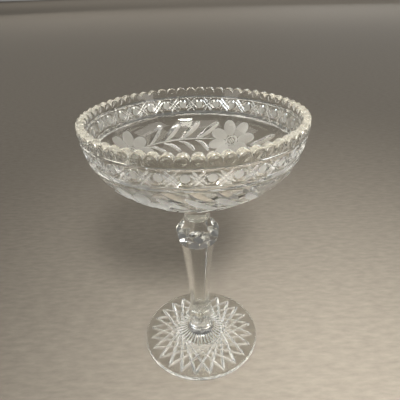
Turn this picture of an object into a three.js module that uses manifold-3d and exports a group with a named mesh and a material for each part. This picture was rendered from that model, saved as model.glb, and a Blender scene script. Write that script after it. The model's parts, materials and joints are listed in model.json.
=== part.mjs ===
// A tall cut-glass compote: a scallop-edged bowl on a panel-cut stem with a faceted knop,
// standing on a round foot with a star cut into its underside.
// Millimetres, +Z up. The origin is the centre of the face that the foot rests on.
import * as THREE from "three";
import { ConvexGeometry } from "three/addons/geometries/ConvexGeometry.js";
import { mergeVertices } from "three/addons/utils/BufferGeometryUtils.js";
import Module from "manifold-3d";

// Foot: a thin disc with a rolled upper edge, whose upper face climbs to a flared hub.
const FOOT_DIAMETER = 102;
const FOOT_EDGE_THICKNESS = 4.4;
const FOOT_EDGE_ROUND = 1.4;
const FOOT_EDGE_ROLL = 2.8;
const FOOT_CROWN = 3.2;
const FOOT_FLARE_DIAMETER = 42;
const FOOT_HUB_DIAMETER = 16.4;
const FOOT_HEIGHT = 22;

// Star on the underside: each wheel cut joins one point of the star to another.
const STAR_POINTS = 24;
const STAR_SKIP = 9;
const STAR_MARGIN = 5.5;
const STAR_CUT_WIDTH = 3;
const STAR_CUT_DEPTH = 1.6;
const STAR_CUT_ROCKER = 0.35;
const STAR_TIP_LENGTH = 9;
const STAR_OVERRUN = 2.5;

// Foot button: the rounded wafer of glass between the foot and the stem.
const BUTTON_DIAMETER = 20.8;
const BUTTON_BULGE_HEIGHT = 5;
const BUTTON_HEIGHT = 13;
const BUTTON_SEAT_DIAMETER = 18.2;

// Stem: a six-panel shaft that swells into a faceted knop.
const PANELS = 6;
const PANEL_TURN_DEGREES = 34;
const SHAFT_WAIST_DIAMETER = 16.9;
const SHAFT_TOP_DIAMETER = 27.8;
const SHAFT_LENGTH = 71;
const SHAFT_WAIST_HEIGHT = 8;
const SHAFT_ROOT_HEIGHT = 12;
const KNOP_DIAMETER = 34.4;
const KNOP_LOWER_HEIGHT = 10;
const KNOP_UPPER_HEIGHT = 12;

// How far the corners of the knop's two rows of facets reach past the round bead.
const FACET_GIRDLE_REACH = 1.4;
const FACET_NECK_REACH = 1.3;
const FACET_SHAFT_REACH = 1.7;

// Neck wafer: joins the knop to the bowl.
const NECK_DIAMETER = 19.8;
const NECK_HEIGHT = 19;
const NECK_FLARE = 2.4;

// Bowl: a shallow belly below an almost upright wall.
const BOWL_DIAMETER = 154;
const BOWL_HEIGHT = 63;
const WALL_HEIGHT = 25;
const WALL_LEAN = 4.5;
const BELLY_RISE = 3;
const BOWL_FLOOR_THICKNESS = 8;
const RIM_WALL = 5;
const SHOULDER_WALL = 5.4;
const RIM_BEVEL = 1.5;

// Cuts on the bowl: a scalloped rim above two mitred rings that frame the cut band.
const SCALLOPS = 58;
const SCALLOP_DEPTH = 3.6;
const SCALLOP_TURN_DEGREES = -1.8;
const UPPER_RING_DROP = 8.6;
const UPPER_RING_WIDTH = 2;
const UPPER_RING_DEPTH = 1;
const LOWER_RING_RISE = 3.6;
const LOWER_RING_WIDTH = 3.6;
const LOWER_RING_DEPTH = 1.7;

// Bends of the swept outlines, as shares of the way from one end to the other.
const HUB_BEND_INWARD = 0.62;
const HUB_BEND_UPWARD = 0.35;
const SHAFT_SWELL_START = 0.4;
const SHAFT_ROOT_BEND = 0.3;
const NECK_BEND = 0.7;
const BELLY_SWEEP = 0.43;
const BELLY_FULLNESS = 0.895;
const BELLY_TURN = 0.55;

// Fineness of the round forms, and the room that cutters need to pass right through.
const ROUND_SEGMENTS = 64;
const STEM_SEGMENTS = 40;
const CURVE_STEPS = 6;
const EDGE_STEPS = 2;
const SCALLOP_STEPS = 3;
const CUT_MARGIN = 1;
const CORNER_GAP = 0.01;
const SAME_POINT = 1e-4;

// Colours and finishes of the glass.
const FOOT_GLASS = 0xd9dcd4;
const WAFER_GLASS = 0xd5d9d2;
const STEM_GLASS = 0xd2d6cf;
const BOWL_GLASS = 0xdcded6;
const POLISHED = 0.05;
const WHEEL_CUT = 0.08;

// Heights at which the pieces meet, from the foot up, and of the bowl's shoulder and rings.
const knopHeight = KNOP_LOWER_HEIGHT + KNOP_UPPER_HEIGHT;
const buttonBase = FOOT_HEIGHT;
const stemBase = buttonBase + BUTTON_HEIGHT;
const neckBase = stemBase + SHAFT_LENGTH + knopHeight;
const bowlBase = neckBase + NECK_HEIGHT;
const shoulderHeight = BOWL_HEIGHT - WALL_HEIGHT;
const bowlSeatRadius = NECK_DIAMETER / 2 + NECK_FLARE;
const lowerRing = shoulderHeight + LOWER_RING_RISE;
const upperRing = BOWL_HEIGHT - UPPER_RING_DROP;

const wasm = await Module();
wasm.setup();

// A closed geometry as a solid that can be cut and joined.
function toSolid(geometry) {
  const bare = geometry.clone();
  bare.deleteAttribute("normal");
  bare.deleteAttribute("uv");
  const merged = mergeVertices(bare, SAME_POINT);
  const vertProperties = merged.attributes.position.array;
  const triVerts = new Uint32Array(merged.index.array);
  return new wasm.Manifold(new wasm.Mesh({ numProp: 3, vertProperties, triVerts }));
}

// A finished solid as a geometry for a mesh, with corners that almost meet drawn together.
function toGeometry(solid) {
  const { vertProperties, triVerts } = solid.simplify(CORNER_GAP).getMesh();
  const geometry = new THREE.BufferGeometry();
  geometry.setAttribute("position", new THREE.BufferAttribute(vertProperties, 3));
  geometry.setIndex(new THREE.BufferAttribute(triVerts, 1));
  geometry.computeVertexNormals();
  return geometry;
}

// Several solids as one.
function joined(solids) {
  return solids.reduce((all, next) => all.add(next));
}

const point = (radius, height) => new THREE.Vector2(radius, height);
const mix = THREE.MathUtils.lerp;

// A profile of radius and height turned about the Z axis; few segments give flat panels.
function turned(profile, segments, startDegrees = 0) {
  const start = THREE.MathUtils.degToRad(startDegrees);
  return new THREE.LatheGeometry(profile, segments, start, 2 * Math.PI).rotateX(Math.PI / 2);
}

// Copies of a cutter, evenly spaced about the Z axis.
function around(count, cutter) {
  const copies = [];
  for (let i = 0; i < count; i += 1) {
    copies.push(cutter.rotate([0, 0, (360 * i) / count]));
  }
  return copies;
}

// The points of a quarter round that leaves one level or upright edge and ends on another.
function quarterRound(from, corner, to) {
  return new THREE.QuadraticBezierCurve(from, corner, to).getPoints(EDGE_STEPS);
}

// The foot's disc and hub, before the star is cut.
function footBlank() {
  const rim = FOOT_DIAMETER / 2;
  const round = Math.min(FOOT_EDGE_ROUND, FOOT_EDGE_THICKNESS / 2);
  const roll = Math.min(FOOT_EDGE_ROLL, FOOT_EDGE_THICKNESS - round);
  const flare = FOOT_FLARE_DIAMETER / 2;
  const hub = FOOT_HUB_DIAMETER / 2;
  const crown = FOOT_EDGE_THICKNESS + FOOT_CROWN;
  const hubSide = new THREE.CubicBezierCurve(
    point(flare, crown),
    point(mix(flare, hub, HUB_BEND_INWARD), crown),
    point(hub, mix(crown, FOOT_HEIGHT, HUB_BEND_UPWARD)),
    point(hub, FOOT_HEIGHT),
  );
  const profile = [
    point(0, 0),
    ...quarterRound(point(rim - round, 0), point(rim, 0), point(rim, round)),
    ...quarterRound(
      point(rim, FOOT_EDGE_THICKNESS - roll),
      point(rim, FOOT_EDGE_THICKNESS),
      point(rim - roll, FOOT_EDGE_THICKNESS),
    ),
    ...hubSide.getPoints(CURVE_STEPS),
    point(0, FOOT_HEIGHT),
  ];
  return toSolid(turned(profile, ROUND_SEGMENTS));
}

// One wheel cut of the star: a V trough along X, deepest half-way, that runs out to a point at each end.
function starCut(length) {
  const shoulderDepth = STAR_CUT_DEPTH - STAR_CUT_ROCKER;
  const spread = (shoulderDepth + CUT_MARGIN) / shoulderDepth;
  const shoulder = length / 2 - STAR_TIP_LENGTH;
  const tip = shoulder + STAR_TIP_LENGTH * spread;
  const side = (STAR_CUT_WIDTH / 2) * spread;
  const points = [new THREE.Vector3(0, 0, STAR_CUT_DEPTH)];
  for (const end of [-1, 1]) {
    points.push(new THREE.Vector3(end * tip, 0, -CUT_MARGIN));
    points.push(new THREE.Vector3(end * shoulder, side, -CUT_MARGIN));
    points.push(new THREE.Vector3(end * shoulder, -side, -CUT_MARGIN));
    points.push(new THREE.Vector3(end * shoulder, 0, shoulderDepth));
  }
  return toSolid(new ConvexGeometry(points));
}

// The foot with its star.
function foot() {
  const halfSpan = (Math.PI * STAR_SKIP) / STAR_POINTS;
  const radius = FOOT_DIAMETER / 2 - STAR_MARGIN;
  const cut = starCut(2 * (radius * Math.sin(halfSpan) + STAR_OVERRUN));
  const seated = cut.translate([0, radius * Math.cos(halfSpan), 0]);
  return footBlank().subtract(joined(around(STAR_POINTS, seated)));
}

// The button: full at its lower edge, drawn in where the stem stands on it.
function footButton() {
  const hub = FOOT_HUB_DIAMETER / 2;
  const full = BUTTON_DIAMETER / 2;
  const seat = BUTTON_SEAT_DIAMETER / 2;
  const side = new THREE.SplineCurve([
    point(hub, 0),
    point(full, BUTTON_BULGE_HEIGHT),
    point(seat, BUTTON_HEIGHT),
  ]);
  const profile = [point(0, 0), ...side.getPoints(CURVE_STEPS), point(0, BUTTON_HEIGHT)];
  return toSolid(turned(profile, STEM_SEGMENTS));
}

// The shaft: a hexagon in section that draws in to a waist and swells towards the knop.
function shaft() {
  const waist = SHAFT_WAIST_DIAMETER / 2;
  const top = SHAFT_TOP_DIAMETER / 2;
  const swell = new THREE.QuadraticBezierCurve(
    point(waist, SHAFT_WAIST_HEIGHT),
    point(waist, mix(SHAFT_WAIST_HEIGHT, SHAFT_LENGTH, SHAFT_SWELL_START)),
    point(top, SHAFT_LENGTH),
  );
  const profile = [
    point(0, 0),
    point(waist, 0),
    ...swell.getPoints(CURVE_STEPS),
    point(0, SHAFT_LENGTH + CUT_MARGIN),
  ];
  return toSolid(turned(profile, PANELS, PANEL_TURN_DEGREES));
}

// The round root of the shaft, from which the panels rise.
function shaftRoot() {
  const seat = BUTTON_SEAT_DIAMETER / 2;
  const apothem = (SHAFT_WAIST_DIAMETER / 2) * Math.cos(Math.PI / PANELS);
  const side = new THREE.QuadraticBezierCurve(
    point(seat, 0),
    point(apothem, SHAFT_ROOT_HEIGHT * SHAFT_ROOT_BEND),
    point(apothem, SHAFT_ROOT_HEIGHT),
  );
  const profile = [point(0, 0), ...side.getPoints(CURVE_STEPS), point(0, SHAFT_ROOT_HEIGHT)];
  return toSolid(turned(profile, STEM_SEGMENTS));
}

// A row of flat facets round the knop, as a solid that the bead is ground down to.
function facetRow(bottomRadius, topRadius, turnDegrees) {
  const profile = [
    point(0, -CUT_MARGIN),
    point(bottomRadius, -CUT_MARGIN),
    point(bottomRadius, 0),
    point(topRadius, knopHeight),
    point(topRadius, knopHeight + CUT_MARGIN),
    point(0, knopHeight + CUT_MARGIN),
  ];
  return toSolid(turned(profile, PANELS, turnDegrees));
}

// The knop: a round bead ground with a row of facets above its girdle and a staggered row below.
function knop() {
  const full = KNOP_DIAMETER / 2;
  const neck = NECK_DIAMETER / 2;
  const shaftTop = SHAFT_TOP_DIAMETER / 2;
  const bead = new THREE.SplineCurve([
    point(shaftTop, 0),
    point(full, KNOP_LOWER_HEIGHT),
    point(neck, knopHeight),
  ]);
  const profile = [point(0, 0), ...bead.getPoints(2 * CURVE_STEPS), point(0, knopHeight)];
  const girdle = full + FACET_GIRDLE_REACH;
  const upperEnd = neck + FACET_NECK_REACH;
  const lowerEnd = shaftTop + FACET_SHAFT_REACH;
  const upperStart = girdle + ((girdle - upperEnd) * KNOP_LOWER_HEIGHT) / KNOP_UPPER_HEIGHT;
  const lowerStart = girdle + ((girdle - lowerEnd) * KNOP_UPPER_HEIGHT) / KNOP_LOWER_HEIGHT;
  return toSolid(turned(profile, STEM_SEGMENTS))
    .intersect(facetRow(upperStart, upperEnd, PANEL_TURN_DEGREES))
    .intersect(facetRow(lowerEnd, lowerStart, PANEL_TURN_DEGREES + 180 / PANELS));
}

// The whole stem: root, shaft and knop are one piece of glass.
function stem() {
  return joined([shaftRoot(), shaft(), knop().translate([0, 0, SHAFT_LENGTH])]);
}

// The neck: a short column that opens out under the bowl.
function neckWafer() {
  const neck = NECK_DIAMETER / 2;
  const side = new THREE.QuadraticBezierCurve(
    point(neck, 0),
    point(neck, NECK_HEIGHT * NECK_BEND),
    point(bowlSeatRadius, NECK_HEIGHT),
  );
  const profile = [point(0, 0), ...side.getPoints(CURVE_STEPS), point(0, NECK_HEIGHT)];
  return toSolid(turned(profile, STEM_SEGMENTS));
}

// The belly of the bowl, from a level start near the axis to the shoulder.
function belly(start, startHeight, shoulder, rise) {
  return new THREE.CubicBezierCurve(
    point(start, startHeight),
    point(mix(start, shoulder, BELLY_SWEEP), startHeight + rise),
    point(mix(start, shoulder, BELLY_FULLNESS), mix(startHeight, shoulderHeight, BELLY_TURN)),
    point(shoulder, shoulderHeight),
  );
}

// The points of a mitred ring cut into the outer wall at a height.
function ringCut(wallRadius, height, width, depth) {
  const lower = height - width / 2;
  const upper = height + width / 2;
  return [
    point(wallRadius(lower), lower),
    point(wallRadius(height) - depth, height),
    point(wallRadius(upper), upper),
  ];
}

// The bowl before its rim is scalloped.
function bowlBlank() {
  const rim = BOWL_DIAMETER / 2;
  const shoulder = rim - WALL_LEAN;
  const outer = belly(bowlSeatRadius, 0, shoulder, BELLY_RISE);
  const inner = belly(0, BOWL_FLOOR_THICKNESS, shoulder - SHOULDER_WALL, 0);
  const wallRadius = (height) => {
    const share = (height - shoulderHeight) / WALL_HEIGHT;
    return shoulder + WALL_LEAN * Math.sin((share * Math.PI) / 2);
  };
  const profile = [
    point(0, 0),
    ...outer.getPoints(CURVE_STEPS),
    ...ringCut(wallRadius, lowerRing, LOWER_RING_WIDTH, LOWER_RING_DEPTH),
    ...ringCut(wallRadius, upperRing, UPPER_RING_WIDTH, UPPER_RING_DEPTH),
    point(rim, BOWL_HEIGHT - RIM_BEVEL),
    point(rim - RIM_BEVEL, BOWL_HEIGHT),
    point(rim - RIM_WALL, BOWL_HEIGHT),
    ...inner.getPoints(CURVE_STEPS).reverse(),
  ];
  return toSolid(turned(profile, ROUND_SEGMENTS));
}

// The cut between two scallops: two round edges that meet in a point, drawn through the wall.
function scallopCut() {
  const rim = BOWL_DIAMETER / 2;
  const half = (Math.PI * (rim - RIM_WALL / 2)) / SCALLOPS;
  const round = (half * half + SCALLOP_DEPTH * SCALLOP_DEPTH) / (2 * SCALLOP_DEPTH);
  const valley = Math.atan2(round - SCALLOP_DEPTH, half);
  const shape = new THREE.Shape();
  shape.moveTo(half, CUT_MARGIN);
  shape.lineTo(-half, CUT_MARGIN);
  shape.absarc(-half, -round, round, Math.PI / 2, valley, true);
  shape.absarc(half, -round, round, Math.PI - valley, Math.PI / 2, true);
  const depth = RIM_WALL + 2 * CUT_MARGIN;
  const geometry = new THREE.ExtrudeGeometry(shape, {
    depth,
    bevelEnabled: false,
    curveSegments: SCALLOP_STEPS,
  });
  geometry.rotateX(Math.PI / 2);
  return toSolid(geometry).translate([0, rim + CUT_MARGIN, BOWL_HEIGHT]);
}

// The bowl with its scalloped rim.
function bowl() {
  const cut = scallopCut().rotate([0, 0, SCALLOP_TURN_DEGREES]);
  return bowlBlank().subtract(joined(around(SCALLOPS, cut)));
}

// Each piece of glass is a named mesh that stands on the one below it.
const compote = new THREE.Group();
function addPiece(name, solid, height, colour, roughness) {
  const material = new THREE.MeshStandardMaterial({
    color: colour,
    roughness,
    metalness: 0,
  });
  const mesh = new THREE.Mesh(toGeometry(solid), material);
  mesh.name = name;
  mesh.position.z = height;
  compote.add(mesh);
}

addPiece("foot", foot(), 0, FOOT_GLASS, WHEEL_CUT);
addPiece("foot_button", footButton(), buttonBase, WAFER_GLASS, POLISHED);
addPiece("stem", stem(), stemBase, STEM_GLASS, POLISHED);
addPiece("neck_wafer", neckWafer(), neckBase, WAFER_GLASS, POLISHED);
addPiece("bowl", bowl(), bowlBase, BOWL_GLASS, WHEEL_CUT);

export default compote;
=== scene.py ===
# %% [markdown]
# # A cut-glass compote
# A compote is a bowl on a tall foot, for fruit or sweets. This one is made of five gathers of clear glass
# that were fused while hot: foot, button, stem, neck and bowl. When cold it was cut on turning wheels,
# with a star under the foot, panels and facets on the stem, and rings, flowers and leaves on the bowl.
# The measured solids are loaded first. They are the frame that every modelled piece has to fit.

# %% Load the measured solids
import bisect
import json
import math

import bpy
from mathutils import Matrix, Vector

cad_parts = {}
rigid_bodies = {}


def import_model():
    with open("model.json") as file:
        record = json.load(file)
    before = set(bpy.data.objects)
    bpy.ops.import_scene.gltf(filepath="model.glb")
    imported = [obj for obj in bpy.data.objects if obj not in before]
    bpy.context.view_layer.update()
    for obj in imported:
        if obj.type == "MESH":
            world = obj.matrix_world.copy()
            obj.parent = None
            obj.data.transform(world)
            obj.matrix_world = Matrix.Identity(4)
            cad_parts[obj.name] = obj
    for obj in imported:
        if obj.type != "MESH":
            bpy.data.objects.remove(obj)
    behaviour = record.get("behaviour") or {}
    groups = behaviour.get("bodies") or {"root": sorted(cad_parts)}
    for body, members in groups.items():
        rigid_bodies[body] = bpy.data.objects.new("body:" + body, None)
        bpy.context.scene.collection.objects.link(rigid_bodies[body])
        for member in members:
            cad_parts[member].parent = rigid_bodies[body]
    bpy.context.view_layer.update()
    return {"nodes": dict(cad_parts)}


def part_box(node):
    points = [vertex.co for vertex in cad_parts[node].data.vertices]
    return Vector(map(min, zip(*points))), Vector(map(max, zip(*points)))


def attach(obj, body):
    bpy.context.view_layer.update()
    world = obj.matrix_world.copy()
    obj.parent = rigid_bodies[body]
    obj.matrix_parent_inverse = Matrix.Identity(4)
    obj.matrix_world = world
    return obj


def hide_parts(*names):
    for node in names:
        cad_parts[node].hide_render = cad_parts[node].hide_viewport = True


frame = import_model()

MM = 0.001
print("pieces of glass:", sorted(frame["nodes"]))

# %% [markdown]
# ## Hands
# An operator works on whatever is selected, so a small helper takes up one object and puts the rest down.
# A second one opens a piece in edit mode with only some of its vertices selected, chosen by their place.

# %% Take up a piece, and pick some of its points


def take_up(piece):
    """Select one object alone and make it the active one."""
    bpy.ops.object.select_all(action="DESELECT")
    piece.select_set(True)
    bpy.context.view_layer.objects.active = piece


def pick_points(piece, wanted):
    """Open a piece in edit mode with only the wanted vertices selected."""
    take_up(piece)
    bpy.ops.object.mode_set(mode="EDIT")
    bpy.ops.mesh.select_mode(type="VERT")
    bpy.ops.mesh.select_all(action="DESELECT")
    bpy.ops.object.mode_set(mode="OBJECT")
    for vertex in piece.data.vertices:
        vertex.select = wanted(vertex.co)
    bpy.ops.object.mode_set(mode="EDIT")


bpy.ops.object.select_all(action="DESELECT")
print("selected at the start:", len(bpy.context.selected_objects))

# %% [markdown]
# ## What the glass looks like inside
# Hand-worked glass is never quite even. Slow streaks, called cords, bend the light a little, and
# polishing leaves a fine haze that only shows in highlights. Every finish below needs the two effects at
# its own sizes, so they are one node group with two scales in and two masks out. It reads Object
# coordinates, so the streaks stay in the glass.

# %% Node group for cords and grain
CORD_DETAIL = 2.0
GRAIN_DETAIL = 4.0
MASKS = (("Cord Scale", "Cords", CORD_DETAIL), ("Grain Scale", "Grain", GRAIN_DETAIL))


def glass_texture_group():
    """A shader group that puts out slow cords and fine grain, each as a value from 0 to 1."""
    group = bpy.data.node_groups.new("glass_texture", "ShaderNodeTree")
    for name in ("Cord Scale", "Grain Scale"):
        group.interface.new_socket(name, in_out="INPUT", socket_type="NodeSocketFloat")
    for name in ("Cords", "Grain"):
        group.interface.new_socket(name, in_out="OUTPUT", socket_type="NodeSocketFloat")
    place = group.nodes.new("ShaderNodeTexCoord")
    inside = group.nodes.new("NodeGroupInput")
    outside = group.nodes.new("NodeGroupOutput")
    for scale, mask, detail in MASKS:
        noise = group.nodes.new("ShaderNodeTexNoise")
        noise.inputs["Detail"].default_value = detail
        group.links.new(place.outputs["Object"], noise.inputs["Vector"])
        group.links.new(inside.outputs[scale], noise.inputs["Scale"])
        group.links.new(noise.outputs["Fac"], outside.inputs[mask])
    return group


glass_texture = glass_texture_group()
print("node group:", glass_texture.name, [socket.name for socket in glass_texture.interface.items_tree])

# %% [markdown]
# ## A recipe for glass
# Crystal has a high index of refraction, because there is lead in it. Its finishes differ in roughness,
# in how much light goes through and in tint, so one function mixes them all. Light has to reach the table
# through the glass, and refracted lamp light is slow to find. So shadow rays pass straight through with a
# loss, the shade, which a Light Path node switches inside each material.

# %% A glass material
LEAD_GLASS_IOR = 1.545


def add_glass(name, cord_scale, grain_scale, roughness, tints, relief, transmission, shade):
    """A glass material whose tint, roughness and relief vary with the cords and the grain."""
    material = bpy.data.materials.new(name)
    material.use_nodes = True
    nodes = material.node_tree.nodes
    link = material.node_tree.links.new
    glass = nodes["Principled BSDF"]
    glass.inputs["IOR"].default_value = LEAD_GLASS_IOR
    glass.inputs["Transmission Weight"].default_value = transmission

    texture = nodes.new("ShaderNodeGroup")
    texture.node_tree = glass_texture
    texture.inputs["Cord Scale"].default_value = cord_scale
    texture.inputs["Grain Scale"].default_value = grain_scale

    tint = nodes.new("ShaderNodeValToRGB")
    for stop, colour in zip(tint.color_ramp.elements, tints):
        stop.color = (*colour, 1.0)
    link(texture.outputs["Cords"], tint.inputs["Fac"])
    link(tint.outputs["Color"], glass.inputs["Base Color"])

    smoothest, roughest = roughness
    haze = nodes.new("ShaderNodeMapRange")
    haze.inputs["To Min"].default_value = smoothest
    haze.inputs["To Max"].default_value = roughest
    link(texture.outputs["Grain"], haze.inputs["Value"])
    link(haze.outputs["Result"], glass.inputs["Roughness"])

    mask, strength, height = relief
    bump = nodes.new("ShaderNodeBump")
    bump.inputs["Strength"].default_value = strength
    bump.inputs["Distance"].default_value = height
    link(texture.outputs[mask], bump.inputs["Height"])
    link(bump.outputs["Normal"], glass.inputs["Normal"])

    through = nodes.new("ShaderNodeBsdfTransparent")
    through.inputs["Color"].default_value = (*shade, 1.0)
    ray = nodes.new("ShaderNodeLightPath")
    mix = nodes.new("ShaderNodeMixShader")
    link(ray.outputs["Is Shadow Ray"], mix.inputs["Fac"])
    link(glass.outputs["BSDF"], mix.inputs[1])
    link(through.outputs["BSDF"], mix.inputs[2])
    link(mix.outputs["Shader"], nodes["Material Output"].inputs["Surface"])
    return material


print("glass bends light with an index of", LEAD_GLASS_IOR)

# %% [markdown]
# ## Polished and honed crystal
# Foot, stem and wafers are polished, with full transmission and almost no roughness. The cuts of the star
# and of the band were smoothed but not polished to the end. Their honed crystal is a little rough and a
# little white, so that a cut shows as one unbroken pale line and not as a few glints.

# %% Crystal of the foot and the stem
POLISH = {
    "grain_scale": 900.0,
    "roughness": (0.0, 0.03),
    "relief": ("Cords", 0.3, 0.0006),
    "transmission": 1.0,
}
FINE_GRAIN = {"cord_scale": 180.0, "grain_scale": 1800.0, "relief": ("Grain", 0.2, 0.0002)}

clear_crystal = add_glass(
    "polished_crystal",
    **POLISH,
    cord_scale=55.0,
    tints=((0.985, 0.985, 0.965), (0.955, 0.955, 0.925)),
    shade=(0.97, 0.97, 0.96),
)
honed_crystal = add_glass(
    "honed_crystal",
    **FINE_GRAIN,
    roughness=(0.05, 0.17),
    tints=((0.99, 0.99, 0.97), (0.96, 0.96, 0.93)),
    transmission=0.9,
    shade=(0.97, 0.97, 0.96),
)
print("finishes:", clear_crystal.name, honed_crystal.name)

# %% [markdown]
# ## Crystal of the bowl
# The bowl is polished too, from a slightly warmer gather. Its outside is covered with cuts that scatter
# light, so little of a lamp's light goes straight through and the bowl throws a dark shadow. Its inside
# is plain and lets light in, which then reaches the backs of the matt flowers. Only the shade differs
# between the two finishes.

# %% Outside and inside of the bowl
BOWL_POLISH = {**POLISH, "cord_scale": 45.0, "tints": ((0.985, 0.98, 0.945), (0.955, 0.95, 0.9))}

cut_crystal = add_glass("bowl_crystal", **BOWL_POLISH, shade=(0.2, 0.2, 0.195))
inside_crystal = add_glass("bowl_inside_crystal", **BOWL_POLISH, shade=(0.9, 0.9, 0.88))
print("finishes of the bowl:", cut_crystal.name, inside_crystal.name)

# %% [markdown]
# ## Ground, frosted and satin crystal
# A cut that is left as the stone made it is rough and partly white. The petals, the hatching of their
# eyes and the flutes of the foot are ground crystal. The discs of the band, the grooves round the eyes,
# the stalks and one side of each leaf are frosted crystal, from a finer stone that leaves them whiter.
# The scalloped edge was only brushed smooth, which leaves a satin. Its cream colour is painted light: a
# painted glow that stands for the warm lamp light gathering in the thick rim.

# %% Matt finishes
STONE_GRAIN = {
    "cord_scale": 260.0,
    "grain_scale": 2600.0,
    "relief": ("Grain", 0.25, 0.0002),
    "shade": (0.24, 0.24, 0.235),
}

ground_crystal = add_glass(
    "ground_crystal",
    **STONE_GRAIN,
    roughness=(0.5, 0.7),
    tints=((0.98, 0.98, 0.97), (0.93, 0.93, 0.91)),
    transmission=0.91,
)
frosted_crystal = add_glass(
    "frosted_crystal",
    **STONE_GRAIN,
    roughness=(0.45, 0.6),
    tints=((0.98, 0.98, 0.97), (0.94, 0.94, 0.92)),
    transmission=0.85,
)
# The satin's roughness is real; its cream tints are a painted glow of warm lamp light in the rim.
satin_painted_glow_crystal = add_glass(
    "satin_painted_glow_crystal",
    **FINE_GRAIN,
    roughness=(0.14, 0.3),
    tints=((0.98, 0.94, 0.80), (0.95, 0.89, 0.72)),
    transmission=0.91,
    shade=(0.46, 0.46, 0.44),
)
print("matt finishes:", ground_crystal.name, frosted_crystal.name, satin_painted_glow_crystal.name)

# %% [markdown]
# ## The lathe
# Every gather of glass is shaped while it turns, so every blank starts as a profile. A single vertex is
# extruded from point to point and the line is spun round the upright axis. Curves are Bezier curves
# through a few points, which keeps an outline as short as a maker's sketch. A small helper takes the
# mesh that an operator has just added and gives it its finish.

# %% Curves, and a profile spun about the axis
SAME_POINT = MM / 1000


def curve(points, steps):
    """Points along a Bezier curve with any number of control points, both ends included."""
    line = []
    for step in range(steps + 1):
        share = step / steps
        level = [Vector(point) for point in points]
        while len(level) > 1:
            level = [a.lerp(b, share) for a, b in zip(level, level[1:])]
        line.append(tuple(level[0]))
    return line


def bowed(start, middle, end, steps):
    """Points along a curve that passes through a middle point half-way."""
    pull = 2 * Vector(middle) - (Vector(start) + Vector(end)) / 2
    return curve([start, pull, end], steps)


def just_added(*finishes):
    """The shape that an operator has just added, with its finishes."""
    shape = bpy.context.object
    for finish in finishes:
        shape.data.materials.append(finish)
    return shape


def turn_blank(name, profile, steps, finish):
    """Spin a profile of (radius, height) in millimetres and return the closed blank."""
    points = [Vector((radius * MM, 0, height * MM)) for radius, height in profile]
    bpy.ops.object.select_all(action="DESELECT")
    bpy.ops.mesh.primitive_plane_add(size=MM)
    blank = just_added(finish)
    blank.name = name
    bpy.ops.object.mode_set(mode="EDIT")
    bpy.ops.mesh.select_mode(type="VERT")
    bpy.ops.mesh.select_all(action="SELECT")
    bpy.ops.mesh.merge(type="CENTER")
    bpy.ops.transform.translate(value=points[0])
    for here, there in zip(points, points[1:]):
        bpy.ops.mesh.extrude_vertices_move(TRANSFORM_OT_translate={"value": there - here})
    bpy.ops.mesh.select_all(action="SELECT")
    bpy.ops.mesh.spin(steps=steps, angle=2 * math.pi, center=(0, 0, 0), axis=(0, 0, 1))
    bpy.ops.mesh.select_all(action="SELECT")
    bpy.ops.mesh.remove_doubles(threshold=SAME_POINT)
    bpy.ops.mesh.normals_make_consistent(inside=False)
    bpy.ops.object.mode_set(mode="OBJECT")
    return blank


print("a curve through three points:", bowed((0, 0), (2, 1), (0, 2), 2))

# %% [markdown]
# ## The cutting wheels
# A mitre wheel has a V-shaped edge, and a short touch of it leaves a boat-shaped groove. A box with
# tapered ends could cut it. A sphere of four segments and two rings is quicker: drawn out, it is a
# spindle of eight flat faces.

# %% Mitre wheel
V_SIDES = 4
SPINDLE_RINGS = 2


def pressed_ball(sides, rings, half_sizes, finish):
    """A sphere that is pressed or drawn out to its half sizes in millimetres."""
    bpy.ops.object.select_all(action="DESELECT")
    bpy.ops.mesh.primitive_uv_sphere_add(segments=sides, ring_count=rings, radius=MM)
    ball = just_added(finish)
    ball.scale = half_sizes
    bpy.ops.object.transform_apply(location=False, rotation=False, scale=True)
    return ball


def mitre_wheel(length, width, depth, finish):
    """A cutter for a V groove along X, pointed at both ends."""
    return pressed_ball(V_SIDES, SPINDLE_RINGS, (length / 2, width / 2, depth), finish)


print("a mitre wheel has", V_SIDES, "sides")

# %% [markdown]
# ## Long passes
# A long pass of the same wheel leaves a trough of even width. Its cutter is a four-sided cylinder whose
# end caps have a point in the middle, and these two points are drawn out to tips.

# %% Trough wheel


def trough_wheel(length, width, depth, tip, finish):
    """A cutter for a long V groove along X, of even width between two pointed ends."""
    shoulder = length / 2 - tip
    bpy.ops.object.select_all(action="DESELECT")
    bpy.ops.mesh.primitive_cylinder_add(
        vertices=V_SIDES, radius=MM, depth=2 * MM, end_fill_type="TRIFAN", rotation=(0, math.pi / 2, 0)
    )
    wheel = just_added(finish)
    bpy.ops.object.transform_apply()
    wheel.scale = (shoulder, width / 2, depth)
    bpy.ops.object.transform_apply()
    pick_points(wheel, lambda co: abs(co.y) + abs(co.z) < SAME_POINT)
    bpy.ops.transform.resize(value=(length / 2 / shoulder, 1, 1), center_override=(0, 0, 0))
    bpy.ops.object.mode_set(mode="OBJECT")
    return wheel


print("a trough is of even width between its tips")

# %% [markdown]
# ## Round stones
# A round stone leaves a shallow dish. Half a sphere would dig too deep for its width. So a sphere is
# lifted until only a small cap of it reaches the glass, and it is pressed so that this cap has the
# width, length and depth that are wanted.

# %% Dish wheel
DISH_SIDES = 16
DISH_RINGS = 40
DISH_REACH = 0.9


def dish_wheel(width, length, depth, finish):
    """A cutter for a shallow oval dish with its long way along Y."""
    edge = math.sqrt(1 - DISH_REACH * DISH_REACH)
    radius = depth / (1 - DISH_REACH)
    wheel = pressed_ball(DISH_SIDES, DISH_RINGS, (width / 2 / edge, length / 2 / edge, radius), finish)
    wheel.data.transform(Matrix.Translation((0, 0, radius * DISH_REACH * MM)))
    return wheel


print("a dish takes up", round(1 - DISH_REACH, 2), "of its stone's radius")

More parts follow.
